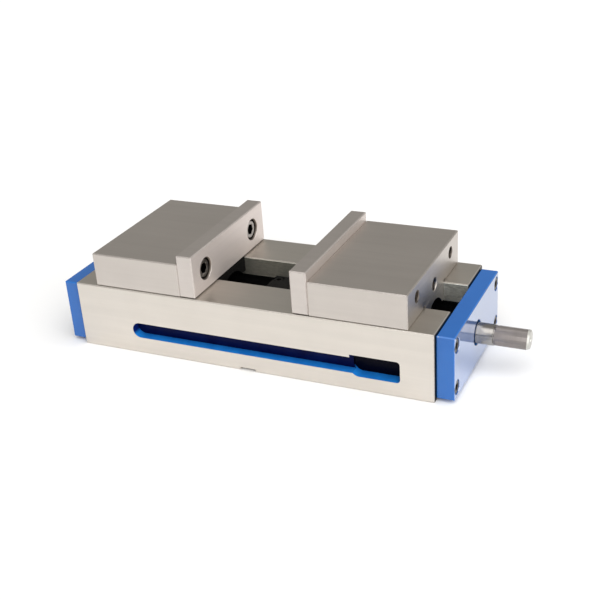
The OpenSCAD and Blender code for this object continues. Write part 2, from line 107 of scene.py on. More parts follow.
class Shader:
    """A material's node tree, with short calls for the nodes that these finishes use."""

    def __init__(self, name):
        self.material = bpy.data.materials.new(name)
        self.material.use_nodes = True
        self.tree = self.material.node_tree
        self.surface = next(n for n in self.tree.nodes if n.type == "BSDF_PRINCIPLED")
        self.place = self.tree.nodes.new("ShaderNodeTexCoord")
        self.position = self.place.outputs["Object"]
        self.normal = self.place.outputs["Normal"]

    def put(self, value, socket):
        if isinstance(value, bpy.types.NodeSocket):
            self.tree.links.new(value, socket)
        else:
            socket.default_value = value

    def math(self, operation, *values, clamp=False):
        node = self.tree.nodes.new("ShaderNodeMath")
        node.operation = operation
        node.use_clamp = clamp
        for value, socket in zip(values, node.inputs):
            self.put(value, socket)
        return node.outputs[0]

    def vector(self, operation, *values):
        node = self.tree.nodes.new("ShaderNodeVectorMath")
        node.operation = operation
        for value, socket in zip(values, node.inputs):
            self.put(value, socket)
        return node.outputs[0]

    def length(self, vector):
        node = self.tree.nodes.new("ShaderNodeVectorMath")
        node.operation = "LENGTH"
        self.put(vector, node.inputs[0])
        return node.outputs["Value"]

    def axes(self, vector):
        node = self.tree.nodes.new("ShaderNodeSeparateXYZ")
        self.put(vector, node.inputs[0])
        return node.outputs[0], node.outputs[1], node.outputs[2]

    def noise(self, vector, scale=1.0, detail=3.0, rough=0.55):
        node = self.tree.nodes.new("ShaderNodeTexNoise")
        self.put(vector, node.inputs["Vector"])
        node.inputs["Scale"].default_value = scale
        node.inputs["Detail"].default_value = detail
        node.inputs["Roughness"].default_value = rough
        return node.outputs["Fac"]

    def remap(self, value, low, high, to_low=0.0, to_high=1.0, smooth=False):
        node = self.tree.nodes.new("ShaderNodeMapRange")
        node.interpolation_type = "SMOOTHSTEP" if smooth else "LINEAR"
        self.put(value, node.inputs["Value"])
        ends = {"From Min": low, "From Max": high, "To Min": to_low, "To Max": to_high}
        for name, number in ends.items():
            self.put(number, node.inputs[name])
        return node.outputs[0]

    def blend(self, factor, first, second, colour=True):
        node = self.tree.nodes.new("ShaderNodeMix")
        node.data_type = "RGBA" if colour else "FLOAT"
        # the node has one pair of ends and one result for each kind of value
        first_end, second_end, result = (6, 7, 2) if colour else (2, 3, 0)
        self.put(factor, node.inputs[0])
        self.put(first, node.inputs[first_end])
        self.put(second, node.inputs[second_end])
        return node.outputs[result]

    def bump(self, height, distance, strength=1.0, onto=None):
        node = self.tree.nodes.new("ShaderNodeBump")
        node.inputs["Strength"].default_value = strength
        node.inputs["Distance"].default_value = distance
        self.put(height, node.inputs["Height"])
        if onto is not None:
            self.put(onto, node.inputs["Normal"])
        return node.outputs[0]

    def set(self, **sockets):
        names = {"colour": "Base Color", "metal": "Metallic", "rough": "Roughness", "bump": "Normal",
                 "ior": "IOR", "coat": "Coat Weight", "coat_rough": "Coat Roughness", "coat_ior": "Coat IOR",
                 "specular": "Specular IOR Level"}
        for name, value in sockets.items():
            self.put(value, self.surface.inputs[names[name]])
        return self.material


def colour(red, green, blue):
    return (red, green, blue, 1.0)


def shade(tint, factor):
    """The same colour, lighter or darker."""
    return tuple(min(1.0, channel * factor) for channel in tint[:3]) + (1.0,)


def nearness(shader, low, high, width):
    """1 on the box's edges, 0 away from them: two axes close to the box's faces at once."""
    parts = []
    for axis, position in enumerate(shader.axes(shader.position)):
        under = shader.math("SUBTRACT", position, low[axis])
        over = shader.math("SUBTRACT", high[axis], position)
        gap = shader.math("ABSOLUTE", shader.math("MINIMUM", under, over))
        parts.append(shader.remap(gap, width, width * 0.45, smooth=True))
    x, y, z = parts
    pairs = shader.math("ADD", shader.math("MULTIPLY", x, y), shader.math("MULTIPLY", y, z))
    return shader.math("ADD", pairs, shader.math("MULTIPLY", z, x), clamp=True)


def inside(shader, low, high, soft=0.1 * MM):
    """1 inside a box, 0 outside it."""
    result = None
    for axis, position in enumerate(shader.axes(shader.position)):
        above = shader.remap(position, low[axis] - soft, low[axis] + soft)
        below = shader.remap(position, high[axis] + soft, high[axis] - soft)
        both = shader.math("MULTIPLY", above, below)
        result = both if result is None else shader.math("MULTIPLY", result, both)
    return result


def in_bore(shader, centre_y, centre_z, radius, soft=0.15 * MM):
    """1 within a round hole that runs along X."""
    across = shader.vector("SUBTRACT", shader.position, (0.0, centre_y, centre_z))
    flat = shader.vector("MULTIPLY", across, (0.0, 1.0, 1.0))
    return shader.remap(shader.length(flat), radius + soft, radius)


def grinding_lines(shader, along=14.0, across=1100.0, detail=4.0):
    """Fine scratches that run along X, or across the vise on faces that look along X."""
    lengthwise = shader.vector("MULTIPLY", shader.position, (along, across, across))
    crosswise = shader.vector("MULTIPLY", shader.position, (across, along, across))
    facing = shader.math("ABSOLUTE", shader.axes(shader.normal)[0])
    turned = shader.math("GREATER_THAN", facing, 0.7)
    return shader.blend(turned, shader.noise(lengthwise, detail=detail),
                        shader.noise(crosswise, detail=detail), colour=False)


# ---------- finishes ----------

def ground_surface(s, base, rough, edges):
    """Colour, roughness and relief of surface-ground metal with faint stains and worn edges."""
    fine = grinding_lines(s)
    broad = grinding_lines(s, along=3.0, across=150.0, detail=2.0)
    stain = s.noise(s.position, scale=26.0, detail=5.0, rough=0.6)
    nicks = s.noise(s.position, scale=420.0, detail=3.0)
    worn = s.math("MULTIPLY", edges, s.remap(nicks, 0.3, 0.6), clamp=True)
    tone = s.blend(s.remap(broad, 0.3, 0.7), shade(base, 0.975), shade(base, 1.02))
    tone = s.blend(s.remap(stain, 0.42, 0.75, 0.0, 0.16), tone, shade(base, 0.86))
    tone = s.blend(worn, tone, shade(base, 0.85))
    roughness = s.math("ADD", s.remap(fine, 0.3, 0.7, rough - 0.03, rough + 0.04),
                       s.remap(stain, 0.4, 0.8, 0.0, 0.07))
    roughness = s.blend(worn, roughness, 0.55, colour=False)
    return tone, roughness, s.bump(fine, 0.004 * MM, 0.35)


def ground_steel(name, low, high, base, rough, bores=(), hollow=None, lapped_and_lit=None):
    """Surface-ground piece; its bores and the hollow round the screw are painted dark as shade.

    The last argument is 1 or -1: the face that looks that way along X gets a soft, less metallic lapping
    finish and is painted a paler grey, partly painted light; the face behind it gets half as much.
    """
    s = Shader(name)
    tone, roughness, relief = ground_surface(s, base, rough, nearness(s, low, high, EDGE_WIDTH))
    metal = 1.0
    if lapped_and_lit is not None:
        towards = s.math("MULTIPLY", s.axes(s.normal)[0], float(lapped_and_lit))
        facing = s.math("MULTIPLY", s.remap(s.math("ABSOLUTE", towards), 0.6, 0.9),
                        s.remap(towards, -1.0, 1.0, 0.5, 1.0))
        # painted light: the chosen face's tone is lifted, partly its lapping finish, partly painted light
        tone = s.blend(facing, tone, s.vector("MULTIPLY", tone, (1.18, 1.16, 1.17)))
        roughness = s.math("ADD", roughness, s.math("MULTIPLY", facing, 0.12))
        metal = s.remap(facing, 0.0, 1.0, 1.0, 0.65)
    # painted shade: the bores are painted dark inside
    for bore in bores:
        tone = s.blend(in_bore(s, *bore), tone, colour(0.17, 0.145, 0.125))
    if hollow is not None:
        unlit = hollow(s)
        # painted shade: the hollow round the screw is painted near black
        grain = s.noise(s.position, scale=700.0, detail=3.0)
        dark = s.blend(s.remap(grain, 0.3, 0.7), colour(0.002, 0.002, 0.002), colour(0.007, 0.0065, 0.006))
        tone = s.blend(unlit, tone, dark)
        roughness = s.blend(unlit, roughness, 0.7, colour=False)
        metal = s.math("SUBTRACT", metal, s.math("MULTIPLY", unlit, metal))
    return s.set(colour=tone, metal=metal, rough=roughness, bump=relief, specular=0.15)


def tongue_hollow(s):
    """The screw's tunnel and the nose under the jaw plate."""
    x, _, z = s.axes(s.position)
    tunnel = in_bore(s, 0.0, AXIS_Z, TUNNEL_R + BORE_MARGIN)
    nose_end = NOSE_FRONT + NOSE_LENGTH
    front = s.remap(s.math("ABSOLUTE", x), nose_end + 1 * MM, nose_end)
    below = s.remap(z, BED_HI.z + SEAM, BED_HI.z)
    return s.math("MAXIMUM", tunnel, s.math("MULTIPLY", front, below))


def rail_sides(s, tone, roughness):
    """Cutter marks on the rails' inner sides, darker in the middle and lighter past the jaws' backs."""
    x, y, z = s.axes(s.position)
    along = s.math("ABSOLUTE", x)
    side = s.math("ABSOLUTE", y)
    arcs = s.noise(s.vector("MULTIPLY", s.position, (190.0, 30.0, 420.0)), detail=3.0)
    clean = s.blend(s.remap(arcs, 0.35, 0.65), colour(0.60, 0.61, 0.56), colour(0.86, 0.88, 0.82))
    middle_milled_tone = s.blend(s.remap(arcs, 0.3, 0.7), colour(0.52, 0.52, 0.45), colour(0.66, 0.65, 0.57))
    milled = s.blend(s.remap(along, JAW_BACK - 12 * MM, JAW_BACK - 2 * MM), middle_milled_tone, clean)
    rail = s.math("MULTIPLY", s.remap(side, CHANNEL_HALF + 0.6 * MM, CHANNEL_HALF + 0.2 * MM),
                  s.remap(z, BED_HI.z - 0.6 * MM, BED_HI.z - 0.9 * MM))
    return s.blend(rail, tone, milled), s.blend(rail, roughness, 0.48, colour=False)


def slot_paint(s):
    """Paint of the side slots: full blue painted lit on the upward faces, painted shade on the back and under
    the roof, near black in the deep pocket.
    """
    side = s.math("ABSOLUTE", s.axes(s.position)[1])
    upward = s.axes(s.normal)[2]
    recessed = s.remap(side, BED_HI.y - 0.05 * MM, BED_HI.y - 0.35 * MM)
    painted = s.math("MULTIPLY", s.math("MULTIPLY", recessed, inside(s, SLOT_LOW, SLOT_HIGH)),
                     s.remap(side, SLOT_BACK - 2 * MM, SLOT_BACK - 1 * MM))
    drips = s.remap(s.noise(s.position, scale=70.0, detail=2.0), 0.3, 0.7)
    # painted light and shade: one blue paint, a lit copy on upward faces and a shaded copy elsewhere
    lit_ledge_paint = s.blend(drips, colour(0.012, 0.19, 0.66), colour(0.018, 0.26, 0.80))
    shaded_slot_paint = s.blend(drips, colour(0.003, 0.008, 0.11), colour(0.004, 0.020, 0.18))
    # painted shade: the deep pocket's back is painted near black
    shaded_slot_paint = s.blend(s.remap(side, POCKET_WALL + 1 * MM, POCKET_WALL - 1 * MM), shaded_slot_paint,
                   colour(0.0008, 0.0008, 0.006))
    return painted, s.blend(s.remap(upward, 0.35, 0.7), shaded_slot_paint, lit_ledge_paint)


def bed_iron():
    """Ground iron outside, paint in the side slots, milled rail sides and a cast chamber painted near black
    as shade; its tops, lip edges and end faces carry painted shade.
    """
    s = Shader("ground_bed_iron")
    x, _, z = s.axes(s.position)
    upward = s.axes(s.normal)[2]
    outer = nearness(s, BED_LO, BED_HI, EDGE_WIDTH)
    # the channel's and the chamber's boxes run out past the bed's ends
    past_end = 100 * MM
    lips = nearness(s, (BED_LO.x - past_end, -CHANNEL_HALF, 0),
                    (BED_HI.x + past_end, CHANNEL_HALF, BED_HI.z), EDGE_WIDTH)
    tone, roughness, relief = ground_surface(s, colour(0.72, 0.675, 0.62), 0.37, outer)
    # painted shade: the bed's upward faces are painted darker than its sides
    painted_shade_on_tops = s.math("MULTIPLY", s.remap(upward, 0.7, 0.9),
                      s.remap(z, BED_HI.z - 1 * MM, BED_HI.z - 0.5 * MM))
    tone = s.blend(painted_shade_on_tops, tone, s.vector("MULTIPLY", tone, (0.85, 0.85, 0.84)))
    # painted shade: the channel's lip edges are painted dark to damp the highlight along them
    tone = s.blend(lips, tone, colour(0.32, 0.30, 0.27))
    roughness = s.blend(lips, roughness, 0.6, colour=False)
    tone, roughness = rail_sides(s, tone, roughness)

    # end faces, painted near black: a painted shade where they meet the end plates
    ends = s.remap(s.math("ABSOLUTE", x), BED_HI.x - 0.5 * MM, BED_HI.x - 0.2 * MM)
    tone = s.blend(ends, tone, colour(0.05, 0.047, 0.043))

    # cast chamber under the lips, painted near black: a painted shade over its cast lumps
    cast = s.noise(s.position, scale=900.0, detail=4.0)
    chamber_shade = s.blend(s.remap(cast, 0.3, 0.7), colour(0.006, 0.006, 0.006), colour(0.016, 0.015, 0.015))
    chamber = inside(s, (BED_LO.x - past_end, -CHAMBER_HALF, 1 * MM),
                     (BED_HI.x + past_end, CHAMBER_HALF, LIP_Z), SEAM)
    tone = s.blend(chamber, tone, chamber_shade)
    roughness = s.blend(chamber, roughness, 0.75, colour=False)

    # blue slot paint, carrying painted light on upward faces and painted shade deeper in
    painted, paint = slot_paint(s)
    tone = s.blend(painted, tone, paint)
    roughness = s.blend(painted, roughness, 0.3, colour=False)
    metal = s.math("SUBTRACT", 1.0, s.math("MAXIMUM", painted, chamber))
    lumps = s.bump(s.math("MULTIPLY", cast, chamber), 0.4 * MM, 0.6, relief)
    return s.set(colour=tone, metal=metal, rough=roughness, bump=lumps, specular=0.06)


def gloss_paint(name, low, high):
    """Blue enamel, polished to a hard shine on the plate's outer face; chipped at the edges, with a painted
    highlight along them.
    """
    s = Shader(name)
    peel = s.noise(s.position, scale=330.0, detail=2.0, rough=0.4)
    wave = s.noise(s.position, scale=38.0, detail=1.0)
    drift = s.noise(s.position, scale=14.0, detail=3.0)
    edges = nearness(s, low, high, 1.2 * MM)
    chips = s.remap(s.noise(s.position, scale=260.0, detail=4.0, rough=0.7), 0.64, 0.68)
    bare = s.math("MULTIPLY", edges, chips, clamp=True)
    outer_x = max(abs(low.x), abs(high.x))
    reach = s.math("ABSOLUTE", s.axes(s.position)[0])
    polished = s.remap(reach, outer_x - 0.6 * MM, outer_x - 0.2 * MM)
    tone = s.blend(s.remap(drift, 0.3, 0.7), colour(0.008, 0.112, 0.42), colour(0.013, 0.138, 0.48))
    # painted highlight: a lighter blue along the plate's edges
    tone = s.blend(s.math("MULTIPLY", edges, 0.35), tone, colour(0.03, 0.22, 0.66))
    tone = s.blend(bare, tone, colour(0.36, 0.35, 0.34))
    height = s.math("ADD", s.math("MULTIPLY", peel, 0.25), wave)
    coat = s.blend(polished, 0.04, 1.0, colour=False)
    return s.set(colour=tone, metal=s.math("MULTIPLY", bare, 0.9), rough=0.16,
                 bump=s.bump(height, 0.06 * MM, 0.2), ior=1.45, coat=coat, coat_rough=0.05, coat_ior=5.5)


def screw_steel(name, low, high, sockets=None):
    """Blackened screw steel, its tone clouded at random between low and high; a light grey range is a painted
    reflection.

    sockets gives the heads' x and the (y, z) axes whose sockets are painted black inside: the screws' own
    black, deepened as painted shade.
    """
    s = Shader(name)
    cloud = s.noise(s.position, scale=180.0, detail=4.0)
    grain = s.noise(s.position, scale=1800.0, detail=2.0)
    tint = (1.0, 0.93, 0.87, 1.0)
    tone = s.blend(s.remap(cloud, 0.35, 0.7), shade(tint, low), shade(tint, high))
    if sockets is not None:
        face_x, axes = sockets
        socket_r = M12.across_flats * 0.6
        depth = s.remap(s.math("ABSOLUTE", s.axes(s.position)[0]), face_x + SEAM, face_x + SEAM + 1 * MM)
        # painted shade: each socket's inside is painted near black, darker than the screw's own black
        for axis_y, axis_z in axes:
            within = s.math("MULTIPLY", depth, in_bore(s, axis_y, axis_z, socket_r))
            tone = s.blend(within, tone, colour(0.012, 0.011, 0.010))
    return s.set(colour=tone, metal=1.0, rough=s.remap(cloud, 0.3, 0.7, 0.28, 0.42),
                 bump=s.bump(grain, 0.01 * MM, 0.3))


def black_oxide():
    """Deep blackened steel of the bearing housing."""
    s = Shader("black_oxide_steel")
    cloud = s.noise(s.position, scale=180.0, detail=4.0)
    grain = s.noise(s.position, scale=900.0, detail=2.0)
    tone = s.blend(s.remap(cloud, 0.35, 0.7), colour(0.003, 0.003, 0.003), colour(0.009, 0.0085, 0.008))
    return s.set(colour=tone, metal=0.0, rough=s.remap(cloud, 0.3, 0.7, 0.55, 0.7), specular=0.15,
                 bump=s.bump(grain, 0.02 * MM, 0.4))


def turned_steel():
    """Bright turned bar: fine rings round the axis and a few darker bands."""
    s = Shader("turned_bright_steel")
    rings = s.noise(s.vector("MULTIPLY", s.position, (2600.0, 40.0, 40.0)), detail=3.0)
    bands = s.noise(s.vector("MULTIPLY", s.position, (160.0, 8.0, 8.0)), detail=2.0)
    tone = s.blend(s.remap(bands, 0.3, 0.7), colour(0.31, 0.295, 0.28), colour(0.43, 0.41, 0.39))
    oil = s.noise(s.position, scale=90.0, detail=3.0)
    tone = s.blend(s.remap(oil, 0.5, 0.8, 0.0, 0.3), tone, colour(0.26, 0.25, 0.24))
    return s.set(colour=tone, metal=1.0, rough=s.remap(rings, 0.3, 0.7, 0.17, 0.26),
                 bump=s.bump(rings, 0.004 * MM, 0.35))


def milled_flats(name, dull, bright):
    """Flats and end face of the drive: cutter lines, satin rather than bright."""
    s = Shader(name)
    cutter = s.noise(s.vector("MULTIPLY", s.position, (900.0, 30.0, 30.0)), detail=2.0)
    cloud = s.noise(s.position, scale=70.0, detail=3.0)
    tone = s.blend(s.remap(cloud, 0.3, 0.7), dull, bright)
    return s.set(colour=tone, metal=1.0, rough=s.remap(cutter, 0.3, 0.7, 0.46, 0.56),
                 bump=s.bump(cutter, 0.005 * MM, 0.3))


def nut_iron():
    """Machined grey iron of the nuts."""
    s = Shader("machined_grey_iron")
    grain = s.noise(s.position, scale=700.0, detail=4.0)
    cloud = s.noise(s.position, scale=60.0, detail=3.0)
    tone = s.blend(s.remap(cloud, 0.3, 0.7), colour(0.15, 0.145, 0.14), colour(0.24, 0.23, 0.22))
    return s.set(colour=tone, metal=0.9, rough=s.remap(grain, 0.3, 0.7, 0.36, 0.52),
                 bump=s.bump(grain, 0.03 * MM, 0.5))


def bronze():
    """Turned bronze of the thrust washers."""
    s = Shader("turned_bronze")
    rings = s.noise(s.vector("MULTIPLY", s.position, (1500.0, 30.0, 30.0)), detail=3.0)
    tone = s.blend(s.remap(rings, 0.3, 0.7), colour(0.52, 0.33, 0.14), colour(0.66, 0.43, 0.20))
    return s.set(colour=tone, metal=1.0, rough=0.3, bump=s.bump(rings, 0.01 * MM, 0.4))


# ---------- meshes ----------

def finished(name, builder, materials, smooth_angle=35):
    """Turns a bmesh into a clean piece: doubles merged, faces outwards, sharp corners kept."""
    bmesh.ops.remove_doubles(builder, verts=builder.verts, dist=0.002 * MM)
    bmesh.ops.recalc_face_normals(builder, faces=builder.faces)
    limit = math.radians(smooth_angle)
    for face in builder.faces:
        face.smooth = True
    for edge in builder.edges:
        edge.smooth = len(edge.link_faces) == 2 and edge.calc_face_angle(math.pi) < limit
    mesh = bpy.data.meshes.new(name)
    builder.to_mesh(mesh)
    builder.free()
    for material in materials:
        mesh.materials.append(material)
    piece = bpy.data.objects.new(name, mesh)
    bpy.context.scene.collection.objects.link(piece)
    return piece


def add_turned(builder, outline, segments=64, shape=None, material=0):
    """Revolves (x, radius) points about the X axis.

    shape(angle, radius) may flatten the section. A point may carry its own shape as a third value.
    """
    rings = []
    for x, radius, *own_shape in outline:
        if radius <= 0:
            rings.append([builder.verts.new((x, 0, 0))])
            continue
        section = own_shape[0] if own_shape else shape
        ring = []
        for step in range(segments):
            angle = 2 * math.pi * step / segments
            reach = section(angle, radius) if section else radius
            ring.append(builder.verts.new((x, reach * math.cos(angle), reach * math.sin(angle))))
        rings.append(ring)
    for first, second in zip(rings, rings[1:]):
        for step in range(segments):
            following = (step + 1) % segments
            if len(first) == 1:
                corners = [first[0], second[following], second[step]]
            elif len(second) == 1:
                corners = [first[step], first[following], second[0]]
            else:
                corners = [first[step], first[following], second[following], second[step]]
            builder.faces.new(corners).material_index = material


# ---------- geometry node trees ----------

class Maker:
    """A geometry node tree with short calls; sizes are its named inputs."""

    def __init__(self, name, numbers, objects=(), materials=()):
        self.tree = bpy.data.node_groups.new(name, "GeometryNodeTree")
        face = self.tree.interface
        face.new_socket("Geometry", in_out="INPUT", socket_type="NodeSocketGeometry")
        for label in numbers:
            face.new_socket(label, in_out="INPUT", socket_type="NodeSocketFloat")
        for label in objects:
            face.new_socket(label, in_out="INPUT", socket_type="NodeSocketObject")
        for label in materials:
            face.new_socket(label, in_out="INPUT", socket_type="NodeSocketMaterial")
        face.new_socket("Geometry", in_out="OUTPUT", socket_type="NodeSocketGeometry")
        self.given = self.tree.nodes.new("NodeGroupInput").outputs
        self.result = self.tree.nodes.new("NodeGroupOutput").inputs

    def node(self, kind, inputs=None, **settings):
        node = self.tree.nodes.new(kind)
        for name, value in settings.items():
            setattr(node, name, value)
        for name, value in (inputs or {}).items():
            socket = node.inputs[name]
            if isinstance(value, bpy.types.NodeSocket):
                self.tree.links.new(value, socket)
            else:
                socket.default_value = value
        return node

    def math(self, operation, *values, clamp=False):
        node = self.node("ShaderNodeMath", dict(enumerate(values)), operation=operation, use_clamp=clamp)
        return node.outputs[0]

    def finish(self, geometry, material):
        solid = self.node("GeometryNodeRealizeInstances", {"Geometry": geometry}).outputs[0]
        coated = self.node("GeometryNodeSetMaterial", {"Geometry": solid, "Material": material}).outputs[0]
        self.tree.links.new(coated, self.result[0])
        return self.tree


def thread_tree():
    """A threaded bar along X: a grid rolled into a tube whose radius follows the thread's slope."""
    m = Maker("rolled_thread", ("Start", "Length", "Major Radius", "Minor Radius", "Pitch", "Hand",
                                "Crest Share", "Root Share", "Steps Around", "Steps Along"),
              materials=("Finish",))
    g = m.given
    length = g["Length"]
    grid = m.node("GeometryNodeMeshGrid", {
        "Size X": length, "Size Y": 1.0, "Vertices X": g["Steps Along"], "Vertices Y": g["Steps Around"]})
    place = m.node("ShaderNodeSeparateXYZ", {0: m.node("GeometryNodeInputPosition").outputs[0]}).outputs
    along = m.math("ADD", place[0], m.math("MULTIPLY", length, 0.5))
    turn = m.math("ADD", place[1], 0.5)
    turned_back = m.math("MULTIPLY", turn, g["Hand"])
    lead = m.math("SUBTRACT", m.math("DIVIDE", along, g["Pitch"]), turned_back)
    # whole turns keep the number positive, so that its fraction always rises along the bar
    phase = m.math("FRACT", m.math("ADD", lead, 50.0))
    from_root = m.math("MULTIPLY", m.math("ABSOLUTE", m.math("SUBTRACT", phase, 0.5)), 2.0)
    slope = m.math("SUBTRACT", m.math("SUBTRACT", 1.0, g["Crest Share"]), g["Root Share"])
    height = m.math("DIVIDE", m.math("SUBTRACT", from_root, g["Root Share"]), slope, clamp=True)
    depth = m.math("SUBTRACT", g["Major Radius"], g["Minor Radius"])
    radius = m.math("ADD", g["Minor Radius"], m.math("MULTIPLY", height, depth))
    # the thread fades to its root over half a pitch at each end, and each end closes on the axis
    from_end = m.math("MINIMUM", along, m.math("SUBTRACT", length, along))
    taper = m.math("DIVIDE", from_end, m.math("MULTIPLY", g["Pitch"], 0.5), clamp=True)
    radius = m.math("MINIMUM", radius, m.math("ADD", g["Minor Radius"], m.math("MULTIPLY", taper, depth)))
    radius = m.math("MULTIPLY", radius, m.math("GREATER_THAN", from_end, 1e-6))
    angle = m.math("MULTIPLY", turn, 2 * math.pi)
    rolled = m.node("ShaderNodeCombineXYZ", {
        0: m.math("ADD", along, g["Start"]),
        1: m.math("MULTIPLY", radius, m.math("COSINE", angle)),
        2: m.math("MULTIPLY", radius, m.math("SINE", angle))}).outputs[0]
    bar = m.node("GeometryNodeSetPosition", {"Geometry": grid.outputs["Mesh"], "Position": rolled}).outputs[0]
    closed = m.node("GeometryNodeMergeByDistance", {"Geometry": bar, "Distance": 1e-6}).outputs[0]
    return m.finish(closed, g["Finish"])


def coil_tree():
    """The crests of a tapped hole: a three-sided ridge wound along X just inside the hole's wall."""
    m = Maker("tapped_hole_crests", ("Start", "Length", "Wall Radius", "Depth", "Pitch"),
              materials=("Finish",))
    g = m.given
    turns = m.math("DIVIDE", g["Length"], g["Pitch"])
    spiral = m.node("GeometryNodeCurveSpiral", {
        "Resolution": 32, "Rotations": turns, "Start Radius": g["Wall Radius"],
        "End Radius": g["Wall Radius"], "Height": g["Length"]})
    straight = m.node("GeometryNodeSetCurveNormal", {"Curve": spiral.outputs[0]})
    ridge = m.node("GeometryNodeCurvePrimitiveCircle", {"Resolution": 3, "Radius": g["Depth"]})
    wound = m.node("GeometryNodeCurveToMesh", {
        "Curve": straight.outputs[0], "Profile Curve": ridge.outputs[0], "Fill Caps": True}).outputs[0]
    laid = m.node("GeometryNodeTransform", {
        "Geometry": wound, "Rotation": (0.0, math.pi / 2, 0.0),
        "Translation": m.node("ShaderNodeCombineXYZ", {0: g["Start"]}).outputs[0]}).outputs[0]
    at_holes = m.node("GeometryNodeInstanceOnPoints", {"Points": g["Geometry"], "Instance": laid}).outputs[0]
    return m.finish(at_holes, g["Finish"])


def seat_tree():
    """Puts one screw on every seat, turned on its own axis by a seeded amount so no two sockets line up."""
    m = Maker("screws_on_seats", ("Lean X", "Lean Y", "Lean Z", "Spin Range", "Spin Seed"),
              objects=("Screw",), materials=("Finish",))
    g = m.given
    source = m.node("GeometryNodeObjectInfo", {"Object": g["Screw"]})
    # the float variant's lowest, highest and seed sockets
    spin = m.node("FunctionNodeRandomValue", {2: 0.0, 3: g["Spin Range"], 8: g["Spin Seed"]},
                  data_type="FLOAT")
    lean = m.node("ShaderNodeCombineXYZ", {0: g["Lean X"], 1: g["Lean Y"], 2: g["Lean Z"]}).outputs[0]
    seats = m.node("GeometryNodeInstanceOnPoints", {
        "Points": g["Geometry"], "Instance": source.outputs["Geometry"], "Rotation": lean})
    spun = m.node("GeometryNodeRotateInstances", {
        "Instances": seats.outputs[0], "Local Space": True,
        "Rotation": m.node("ShaderNodeCombineXYZ", {0: spin.outputs[1]}).outputs[0]})
    return m.finish(spun.outputs[0], g["Finish"])


def made(tree, name, values, points=((0, 0, 0),)):
    """Runs a tree on a few points and returns its result as a plain mesh datablock."""
    mesh = bpy.data.meshes.new(name + "_seats")
    mesh.from_pydata([tuple(p) for p in points], [], [])
    host = bpy.data.objects.new(name + "_host", mesh)
    bpy.context.scene.collection.objects.link(host)
    modifier = host.modifiers.new("make", "NODES")
    modifier.node_group = tree
    for item in tree.interface.items_tree:
        if item.in_out == "INPUT" and item.name in values:
            value = values[item.name]
            modifier[item.identifier] = float(value) if isinstance(value, (int, float)) else value
    bpy.context.view_layer.update()
    graph = bpy.context.evaluated_depsgraph_get()
    result = bpy.data.meshes.new_from_object(host.evaluated_get(graph), depsgraph=graph)
    host.modifiers.remove(modifier)
    bpy.data.objects.remove(host)
    return result


THREAD = thread_tree()
COIL = coil_tree()
SEATS = seat_tree()


# ---------- finishes that several pieces share ----------

FINISH = {
    # painted reflection: these screws are painted light grey for the reflections on their black heads
    "reflection_grey": screw_steel("reflection_grey_screw_steel", 0.32, 0.52, sockets=(PLATE_SCREWS_LO.x, PLATE_SCREW_AXES)),
    "black": screw_steel("blackened_screw_steel", 0.05, 0.14),
    "oxide": black_oxide(),
    "turned": turned_steel(),
    "milled": milled_flats("milled_drive_steel", colour(0.26, 0.235, 0.225), colour(0.32, 0.29, 0.28)),
    # painted light: the drive's end is a much lighter copy of the flats' steel, partly its lathe facing,
    # partly painted light
    "lit_faced": milled_flats("lit_faced_end_steel", colour(0.60, 0.59, 0.56), colour(0.72, 0.71, 0.67)),
}


# ---------- the lead screw ----------

def drive_section(angle, radius):
    """Square with rounded corners, turned so that no flat lies level."""
    local = angle + DRIVE_ANGLE
    flat = DRIVE_HALF_AF / max(abs(math.cos(local)), abs(math.sin(local)))
    return min(radius, flat)


